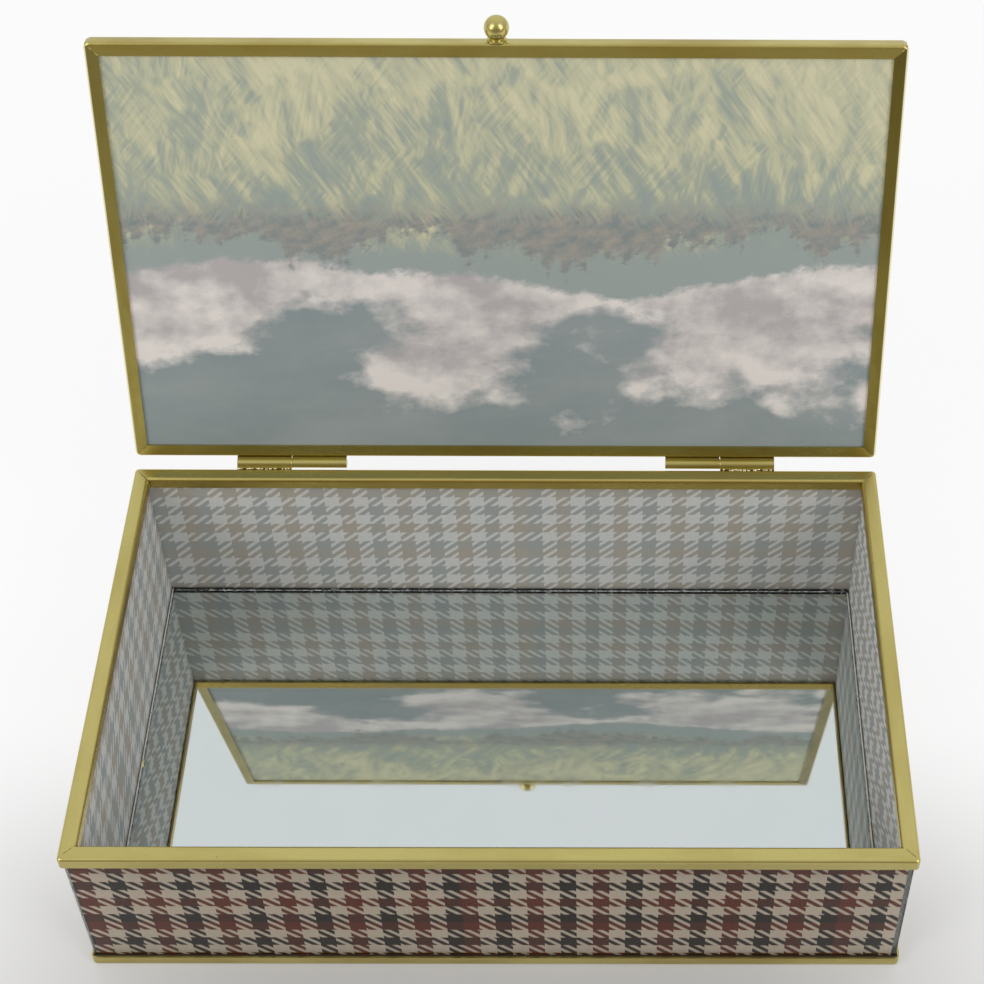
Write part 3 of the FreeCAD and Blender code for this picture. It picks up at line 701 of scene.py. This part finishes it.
def solder_material():
    """Bright solder with tarnished patches."""
    material, tree, shader = new_material("run_solder")
    vector = object_coords(tree)
    skin = noise(tree, vector, 1500.0, 3.0, 0.6)
    colour = blend_colour(tree, ramp(tree, skin, 0.5, 0.7), (0.86, 0.82, 0.68, 1), (0.38, 0.29, 0.10, 1))
    tree.links.new(colour, shader.inputs["Base Color"])
    tree.links.new(ramp(tree, skin, 0.3, 0.7, 0.14, 0.34), shader.inputs["Roughness"])
    shader.inputs["Metallic"].default_value = 1.0
    bump(tree, shader, skin, 0.3, 0.1 * MM)
    return material


SOLDER_TREE, SOLDER_INPUTS = solder_tree()
seam_ends = []
for side in ("left", "right"):
    low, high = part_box(f"hinge_{side}_body_knuckle")
    for x in (low[0] + SOLDER_ENDS, high[0] - SOLDER_ENDS):
        seam_ends.append((x, low[1] - SOLDER_BEHIND, SOLDER_HEIGHT))
solder_values = {
    "Spacing": SOLDER_SPACING, "Bead radius": SOLDER_BEAD, "Seed": SOLDER_SEED, "Solder": solder_material()}
beads = made_along("hinge_solder", seam_ends, [(0, 1), (2, 3)], SOLDER_TREE, SOLDER_INPUTS, solder_values)
new_piece("hinge_solder", beads, "box", "brass")


# Lid frame: four mitred lengths of brass channel round the lid's glass, brushed along their length.
# The lid stands open, so its own directions are turned back by the hinge's angle.
# Inside, its lips are tinted darker as painted shade, the right one most, and the fold beside the side rails' lips
# carries a painted highlight.
OPEN_ANGLE = radians(-hinge["range_deg"][0])
SWING = Matrix.Rotation(-OPEN_ANGLE, 4, "X")
TO_OPEN = Matrix.Translation(HINGE_POINT) @ SWING @ Matrix.Translation(-HINGE_POINT)
LID_ROUND, LID_LIP, LID_DULLNESS = 1.8 * MM, 4.1 * MM, 1.3
BRUSHED_UP_LID, BRUSHED_ACROSS_LID = (OPEN_ANGLE, 0.0, pi / 2), (OPEN_ANGLE, 0.0, 0.0)
LEFT_LID_SHADE, RIGHT_LID_SHADE = (0.74, 0.72, 0.56, 1.0), (0.49, 0.46, 0.29, 1.0)
ACROSS_LID_SHADE = (1.0, 0.96, 0.72, 1.0)
LIP_TINT_REACH, FOLD_HIGHLIGHT_WIDTH = 0.07 * MM, 1.0 * MM


def closed_box(*lid_nodes):
    """Lowest and highest corners of nodes of the lid when it lies closed."""
    points = [TO_OPEN.inverted() @ vertex.co for node in lid_nodes for vertex in nodes[node].data.vertices]
    return tuple(Vector((pick(point[k] for point in points) for k in range(3))) for pick in (min, max))


lid_low, lid_high = closed_box(*(f"lid_frame_{side}" for side in SIDES))
# Painted shade on the lid's inner lips reaches up to this height on the closed lid; on the side rails a painted
# highlight follows just past it.
lip_edge = lid_low.z + (SWING.inverted() @ HINGE_POINT - HINGE_POINT).z + LIP_TINT_REACH
BRASS_UP_LEFT, BRASS_UP_RIGHT = (
    brass_material(f"lid_brass_brushed_up_{side}", BRUSHED_UP_LID, LID_DULLNESS, (2, lip_edge, tint), FOLD_HIGHLIGHT_WIDTH)
    for side, tint in (("left", LEFT_LID_SHADE), ("right", RIGHT_LID_SHADE)))
BRASS_ACROSS_LID = brass_material(
    "lid_brass_brushed_across", BRUSHED_ACROSS_LID, LID_DULLNESS, (2, lip_edge, ACROSS_LID_SHADE))
LID_BRASS = {"front": BRASS_ACROSS_LID, "back": BRASS_ACROSS_LID, "left": BRASS_UP_LEFT, "right": BRASS_UP_RIGHT}
for side in SIDES:
    dress(f"lid_frame_{side}", LID_BRASS[side])
lid_corner = corner_inset(LID_ROUND)
lid_section = [(LID_LIP, lid_low.z)] + fold(lid_corner + FOLD_RADIUS, lid_low.z + FOLD_RADIUS, -90, 0)
lid_section += fold(lid_corner + FOLD_RADIUS, lid_high.z - FOLD_RADIUS, 0, 90) + [(LID_LIP, lid_high.z)]
lid_mitres = mitre_lines("mitre_solder_lid", corner_paths(lid_low, lid_high, lid_section), MITRE_SOLDER)
lid_mitres.transform(TO_OPEN)
new_piece("mitre_solder_lid", lid_mitres, "lid", "brass")


# Lid glass: one pane held in the channel of the frame, over the picture.
# It is slid in before the last rail is soldered on, and has a little play under the upper lip.
lid_pane_mesh = sheet_mesh("lid_pane", *closed_box("lid_glass"), SEAMED_EDGE)
lid_pane_mesh.transform(TO_OPEN)
lid_pane_mesh.materials.append(CLEAR_GLASS)
lid_pane = new_piece("lid_pane", lid_pane_mesh, "lid", "lid_glass", "lid_glass")
lid_pane.visible_shadow = False


# Picture under the lid's glass: a meadow under a bank of clouds, painted and then printed on paper.
# Its printed face is up against the glass; inside the lid the paper's pale back shows it faintly.
CANVAS_THREAD = 0.62 * MM
PRINTED_PAINTS = {
    "shade": (0.045, 0.075, 0.060, 1), "grass": (0.25, 0.28, 0.10, 1), "straw": (0.58, 0.52, 0.22, 1),
    "sky": (0.075, 0.115, 0.130, 1), "haze": (0.17, 0.22, 0.23, 1), "leaf_dark": (0.018, 0.034, 0.034, 1),
    "leaf": (0.17, 0.105, 0.055, 1), "hill": (0.085, 0.125, 0.115, 1), "cloud_shade": (0.26, 0.23, 0.235, 1),
    "cloud": (0.82, 0.77, 0.71, 1), "glow": (0.50, 0.36, 0.27, 1)}
PAPER_BACK_PAINTS = {
    "shade": (0.33, 0.385, 0.355, 1), "grass": (0.48, 0.50, 0.36, 1), "straw": (0.67, 0.645, 0.44, 1),
    "sky": (0.275, 0.325, 0.335, 1), "haze": (0.35, 0.39, 0.39, 1), "leaf_dark": (0.235, 0.28, 0.28, 1),
    "leaf": (0.43, 0.375, 0.32, 1), "hill": (0.345, 0.395, 0.385, 1), "cloud_shade": (0.49, 0.46, 0.465, 1),
    "cloud": (0.83, 0.78, 0.745, 1), "glow": (0.62, 0.52, 0.47, 1)}


def meadow_group():
    """Where each paint lies on the meadow; the vector is in metres from the picture's near left corner."""
    labels = ("Grass", "Straw", "Air", "Haze", "Hill", "Trees", "Leaf", "Cloud", "Light", "Glow", "Stroke")
    tree, start, end = new_group(
        "painted_meadow", [("Vector", "NodeSocketVector")], [(label, "NodeSocketFloat") for label in labels])
    place = start.outputs[0]
    across, up = add(tree, "ShaderNodeSeparateXYZ", {0: place}).outputs[:2]
    along = add(tree, "ShaderNodeCombineXYZ", {0: across}).outputs[0]

    def blades(wide, tall, leans):
        """Straight strokes of a loaded brush, leaning one way in one tuft and another way in the next."""
        strokes = None
        for layer, lean in enumerate(leans):
            turned = stretch(tree, place, (1000.0 / wide, 1000.0 / tall, 1.0), (0.0, 0.0, radians(lean)))
            moved = add(tree, "ShaderNodeMapping", {"Vector": turned, "Location": (9.0 * layer, 5.0 * layer, 0.0)})
            painted = noise(tree, moved.outputs[0], 1.0, 3.0, 0.55)
            if strokes is None:
                strokes = painted
                continue
            shifted = add(tree, "ShaderNodeMapping", {"Vector": place, "Location": (0.7 * layer, 0.3, 0.0)})
            tuft = ramp(tree, noise(tree, shifted.outputs[0], 48.0, 2.0), 0.47, 0.53)
            strokes = add(tree, "ShaderNodeMix", {0: tuft, 2: strokes, 3: painted}).outputs[0]
        return strokes

    broad = blades(4.6, 24.0, (8.0, -22.0, 30.0))
    fine = blades(1.2, 13.0, (-12.0, 16.0, -38.0, 34.0))
    clumps = noise(tree, place, 24.0, 3.0, 0.55)
    touches = noise(tree, stretch(tree, place, (170.0, 260.0, 1.0), (0.0, 0.0, 0.4)), 1.0, 4.0, 0.65)

    horizon = ramp(tree, noise(tree, along, 11.0, 1.0), 0.3, 0.7, 60 * MM, 71 * MM)
    feathered = calc(tree, "ADD", up, ramp(tree, fine, 0.3, 0.7, -5 * MM, 5 * MM))
    air = ramp(tree, calc(tree, "SUBTRACT", feathered, horizon), -3 * MM, 3 * MM)
    above = calc(tree, "SUBTRACT", up, horizon)
    hill_top = ramp(tree, noise(tree, along, 9.0, 3.0, 0.45), 0.3, 0.7, 2 * MM, 17 * MM)
    roughened = calc(tree, "ADD", above, ramp(tree, touches, 0.3, 0.7, -1.5 * MM, 1.5 * MM))
    hill = ramp(tree, calc(tree, "SUBTRACT", hill_top, roughened), -1 * MM, 1.5 * MM)
    tree_top = ramp(tree, noise(tree, along, 26.0, 5.0, 0.7), 0.42, 0.75, -6 * MM, 17 * MM)
    ragged = calc(tree, "ADD", above, ramp(tree, touches, 0.3, 0.7, -4 * MM, 4 * MM))
    trees = ramp(tree, calc(tree, "SUBTRACT", tree_top, ragged), -1 * MM, 2 * MM)
    trees = calc(tree, "MULTIPLY", trees, ramp(tree, feathered, 50 * MM, 58 * MM))

    def billows(shift):
        """Heaped cloud, drawn from the place that the shift gives."""
        moved = add(tree, "ShaderNodeMapping", {"Vector": place, "Location": shift, "Scale": (1.0, 1.35, 1.0)})
        return noise(tree, moved.outputs[0], 21.0, 7.0, 0.56)

    puff = billows((0.31, 0.0, 0.0))
    bank = ramp(tree, noise(tree, along, 7.0, 2.0), 0.32, 0.68, 20 * MM, 54 * MM)
    below_bank = calc(tree, "SUBTRACT", bank, above)
    thick = calc(tree, "ADD", puff, ramp(tree, below_bank, -30 * MM, 30 * MM, -0.22, 0.22))
    cloud = calc(tree, "MULTIPLY", ramp(tree, thick, 0.44, 0.53), air)
    lit = calc(tree, "SUBTRACT", puff, billows((0.3065, 0.0070, 0.0)))
    light = calc(tree, "ADD", ramp(tree, lit, -0.10, 0.10), ramp(tree, above, 0.0, 45 * MM, -0.25, 0.2))
    light = calc(tree, "ADD", light, ramp(tree, touches, 0.3, 0.7, -0.12, 0.12))
    glow = calc(tree, "MULTIPLY", ramp(tree, clumps, 0.55, 0.72), ramp(tree, above, 8 * MM, 34 * MM, 1.0, 0.0))

    tone = calc(tree, "ADD", ramp(tree, up, 0.0, 68 * MM, 0.95, 0.2), ramp(tree, broad, 0.3, 0.7, -0.5, 0.5))
    tone = calc(tree, "ADD", tone, ramp(tree, fine, 0.3, 0.7, -0.3, 0.3))
    tone = calc(tree, "ADD", tone, ramp(tree, clumps, 0.3, 0.7, -0.4, 0.4))
    straw = calc(tree, "MULTIPLY", ramp(tree, tone, 0.45, 1.15), ramp(tree, broad, 0.3, 0.6, 0.55, 1.0))
    wisps = noise(tree, stretch(tree, place, (16.0, 40.0, 1.0), (0.0, 0.0, 0.15)), 1.0, 5.0, 0.62)
    found = (ramp(tree, tone, 0.0, 0.75), straw, air, ramp(tree, wisps, 0.40, 0.75), hill, trees,
             ramp(tree, touches, 0.35, 0.72), cloud, ramp(tree, light, 0.05, 0.95), glow,
             calc(tree, "ADD", broad, calc(tree, "MULTIPLY", fine, 0.5)))
    for label, value in zip(labels, found):
        tree.links.new(value, end.inputs[label])
    return tree


PAINTED_MEADOW = meadow_group()


def picture_material(name, paints, canvas):
    """The meadow in one set of paints, on paper pressed with a fine canvas mark."""
    material, tree, shader = new_material(name)
    metres = tree.nodes.new("ShaderNodeUVMap")
    metres.uv_map = "picture"
    seen = use_group(tree, PAINTED_MEADOW, {"Vector": metres.outputs[0]})
    colour = blend_colour(tree, seen["Grass"], paints["shade"], paints["grass"])
    colour = blend_colour(tree, seen["Straw"], colour, paints["straw"])
    heaven = blend_colour(tree, seen["Haze"], paints["sky"], paints["haze"])
    billow = blend_colour(tree, seen["Light"], paints["cloud_shade"], paints["cloud"])
    billow = blend_colour(tree, calc(tree, "MULTIPLY", seen["Glow"], 0.5), billow, paints["glow"])
    heaven = blend_colour(tree, seen["Cloud"], heaven, billow)
    heaven = blend_colour(tree, seen["Hill"], heaven, paints["hill"])
    colour = blend_colour(tree, seen["Air"], colour, heaven)
    leaves = blend_colour(tree, seen["Leaf"], paints["leaf_dark"], paints["leaf"])
    colour = blend_colour(tree, seen["Trees"], colour, leaves)
    across, up = add(tree, "ShaderNodeSeparateXYZ", {0: metres.outputs[0]}).outputs[:2]
    warp = calc(tree, "SINE", calc(tree, "MULTIPLY", across, 2 * pi / CANVAS_THREAD))
    weft = calc(tree, "SINE", calc(tree, "MULTIPLY", up, 2 * pi / CANVAS_THREAD))
    cloth = calc(tree, "ADD", warp, weft)
    shade = ramp(tree, cloth, -2.0, 2.0, 1.0 - canvas, 1.0 + canvas)
    shade = add(tree, "ShaderNodeCombineColor", {0: shade, 1: shade, 2: shade}).outputs[0]
    tree.links.new(blend_colour(tree, 1.0, colour, shade, "MULTIPLY"), shader.inputs["Base Color"])
    tree.links.new(ramp(tree, seen["Stroke"], 0.5, 1.0, 0.62, 0.82), shader.inputs["Roughness"])
    bump(tree, shader, cloth, 0.1, 0.04 * MM)
    return material


picture_low, picture_high = closed_box("lid_picture")
picture_mesh = sheet_mesh("meadow_print", picture_low, picture_high)
picture_uv = picture_mesh.uv_layers.new(name="picture")
for loop in picture_mesh.loops:
    point = picture_mesh.vertices[loop.vertex_index].co - picture_low
    picture_uv.data[loop.index].uv = (point.x, point.y)
picture_mesh.materials.append(picture_material("meadow_print", PRINTED_PAINTS, canvas=0.03))
picture_mesh.materials.append(picture_material("meadow_paper_back", PAPER_BACK_PAINTS, canvas=0.05))
for polygon in picture_mesh.polygons:
    polygon.material_index = 0 if polygon.normal.z > 0.5 else 1
picture_mesh.transform(TO_OPEN @ Matrix.Translation((0.0, 0.0, INTO_GLASS)))
new_piece("meadow_print", picture_mesh, "lid", "picture_print", "lid_picture")


# Knob: a brass ball with a collar and neck, turned in one and polished.
# Its tenon goes through the lid's front rail and is riveted over inside the channel.
dress("lid_knob", brass_material("knob_brass", BRUSHED_ACROSS, POLISHED))


# Hinge halves on the lid: rolled brass barrels like those on the box, one beside each of them.
# They turn on the same wires, and their leaves are soldered to the lid's back rail.
for side in ("left", "right"):
    dress(f"hinge_{side}_lid_knuckle", BRASS_ALONG_X)


# Studio: a pale floor that runs out of sight, in a room that is darker in front than behind.
# Two soft boxes stand in front. Distances on the floor are in metres, with the front below zero.
PAPER_PALE, PAPER_DARK, PAPER_GLOW = (0.945, 0.945, 0.945, 1.0), (0.10, 0.085, 0.065, 1.0), 1.06
# The painted shadow on the floor: where it fades out in front, behind and to the sides, and how deep it is.
SHADOW_FRONT, SHADOW_BACK, SHADOW_SIDES = (-0.34, -0.09), (0.02, -0.085), (0.25, 0.05)
SHADOW_DEPTH, LIFT, LIFT_LOST_IN_SHADOW = 0.46, 0.8, 0.6
GREY_NEAR, GREY_FAR = (-0.62, -0.2, 0.31, 1.0), (-3.5, -0.7, 0.72, 1.0)
FLOOR_REACH, FLOOR_DROP = 6.0, 0.1 * MM
ROOM_DIM, ROOM_BRIGHT = 0.29, 0.89
ROOM_BEHIND, ROOM_IN_FRONT = (0.97, 0.985, 1.0, 1.0), (1.0, 0.92, 0.78, 1.0)
SOFTBOX_SIZE, SOFTBOX_WATTS, SOFTBOX_AIM = (0.5, 0.9), 4.5, Vector((0.0, 0.0, 0.06))
SOFTBOXES = {"left_softbox": (-0.85, -0.58, 0.85), "right_softbox": (0.85, -0.58, 0.85)}


def smooth_ramp(tree, value, low, high, out_low=0.0, out_high=1.0):
    """Like ramp, with soft ends."""
    values = {"Value": value, "From Min": low, "From Max": high, "To Min": out_low, "To Max": out_high}
    return add(tree, "ShaderNodeMapRange", values, interpolation_type="SMOOTHSTEP").outputs["Result"]


def floor_material():
    """Pale paper, with a painted soft shadow in front of the box, going grey far in front."""
    material, tree, shader = new_material("studio_floor")
    place = add(tree, "ShaderNodeSeparateXYZ", {0: object_coords(tree)}).outputs
    across, forward = calc(tree, "ABSOLUTE", place[0]), place[1]
    # Painted shadow: the floor is darker in a soft patch in front of the box, and its glow is lifted less there.
    behind = smooth_ramp(tree, forward, *SHADOW_BACK)
    shadow = calc(tree, "MULTIPLY", smooth_ramp(tree, forward, *SHADOW_FRONT), behind)
    shadow = calc(tree, "MULTIPLY", shadow, smooth_ramp(tree, across, *SHADOW_SIDES))
    level = calc(tree, "SUBTRACT", 1.0, calc(tree, "MULTIPLY", shadow, SHADOW_DEPTH))
    level = calc(tree, "MULTIPLY", level, smooth_ramp(tree, forward, *GREY_NEAR))
    level = calc(tree, "MULTIPLY", level, smooth_ramp(tree, forward, *GREY_FAR))
    paper = blend_colour(tree, level, PAPER_DARK, PAPER_PALE)
    tree.links.new(paper, shader.inputs["Base Color"])
    shader.inputs["Roughness"].default_value = 0.9
    glow = add(tree, "ShaderNodeEmission", {"Color": paper, "Strength": PAPER_GLOW})
    path = tree.nodes.new("ShaderNodeLightPath").outputs
    seen = calc(tree, "MAXIMUM", path["Is Camera Ray"], path["Is Glossy Ray"])
    seen = calc(tree, "MAXIMUM", seen, path["Is Transmission Ray"])
    lifted = calc(tree, "SUBTRACT", LIFT, calc(tree, "MULTIPLY", shadow, LIFT_LOST_IN_SHADOW))
    mix = add(tree, "ShaderNodeMixShader", {0: calc(tree, "MULTIPLY", seen, lifted)})
    tree.links.new(shader.outputs[0], mix.inputs[1])
    tree.links.new(glow.outputs[0], mix.inputs[2])
    output = next(node for node in tree.nodes if node.type == "OUTPUT_MATERIAL")
    tree.links.new(mix.outputs[0], output.inputs["Surface"])
    return material


floor_mesh = bpy.data.meshes.new("floor")
floor_corners = [(FLOOR_REACH * x, FLOOR_REACH * y, 0.0) for x, y in ((-1, -1), (1, -1), (1, 1), (-1, 1))]
floor_mesh.from_pydata(floor_corners, [], [(0, 1, 2, 3)])
floor_mesh.materials.append(floor_material())
floor = bpy.data.objects.new("floor", floor_mesh)
floor.location.z = cad_box[0][2] - FLOOR_DROP
scene.collection.objects.link(floor)

world = bpy.data.worlds.new("studio")
world.use_nodes = True
scene.world = world
sky = world.node_tree
sky.nodes.clear()
direction = sky.nodes.new("ShaderNodeTexCoord").outputs["Generated"]
facing = add(sky, "ShaderNodeSeparateXYZ", {0: direction}).outputs
backness = calc(sky, "ADD", calc(sky, "MULTIPLY", facing[1], 0.75), calc(sky, "MULTIPLY", facing[2], 0.65))
level = ramp(sky, backness, -0.6, 0.9, ROOM_DIM, ROOM_BRIGHT)
warmth = blend_colour(sky, ramp(sky, backness, -0.6, 0.35), ROOM_IN_FRONT, ROOM_BEHIND)
background = add(sky, "ShaderNodeBackground", {"Color": warmth, "Strength": level})
sky_output = sky.nodes.new("ShaderNodeOutputWorld")
sky.links.new(background.outputs[0], sky_output.inputs["Surface"])

for name, place in SOFTBOXES.items():
    softbox = bpy.data.lights.new(name, "AREA")
    softbox.shape = "RECTANGLE"
    softbox.size, softbox.size_y = SOFTBOX_SIZE
    softbox.energy = SOFTBOX_WATTS
    stand = bpy.data.objects.new(name, softbox)
    stand.location = place
    stand.rotation_euler = (SOFTBOX_AIM - stand.location).to_track_quat("-Z", "Y").to_euler()
    scene.collection.objects.link(stand)


# Camera: standing in front and looking down into the open box, as the photograph does.
# The photograph is a crop, so its optical axis is off its middle: that is the shift.
PHOTO_PIXELS = 984.0
FOCAL_PIXELS = 2094.7
AXIS_PIXEL = Vector((611.0, 355.4))
CAMERA_PLACE = Vector((30.12, -370.62, 577.05)) * MM
YAW, PITCH, ROLL = radians(0.468), radians(46.353), radians(-0.525)
camera_data = bpy.data.cameras.new("photo_camera")
camera_data.sensor_width = 36.0
camera_data.lens = camera_data.sensor_width * FOCAL_PIXELS / PHOTO_PIXELS
camera_data.shift_x = (PHOTO_PIXELS / 2 - AXIS_PIXEL.x) / PHOTO_PIXELS
camera_data.shift_y = (AXIS_PIXEL.y - PHOTO_PIXELS / 2) / PHOTO_PIXELS
camera_data.clip_start = 0.01
forward = Vector((sin(YAW) * cos(PITCH), cos(YAW) * cos(PITCH), -sin(PITCH)))
level_right = Vector((cos(YAW), -sin(YAW), 0.0))
level_down = forward.cross(level_right)
right = cos(ROLL) * level_right + sin(ROLL) * level_down
down = cos(ROLL) * level_down - sin(ROLL) * level_right
turn = Matrix((right, -down, -forward)).transposed()
camera = bpy.data.objects.new("photo_camera", camera_data)
camera.matrix_world = Matrix.Translation(CAMERA_PLACE) @ turn.to_4x4()
scene.collection.objects.link(camera)
scene.camera = camera
scene.view_settings.view_transform = "Standard"
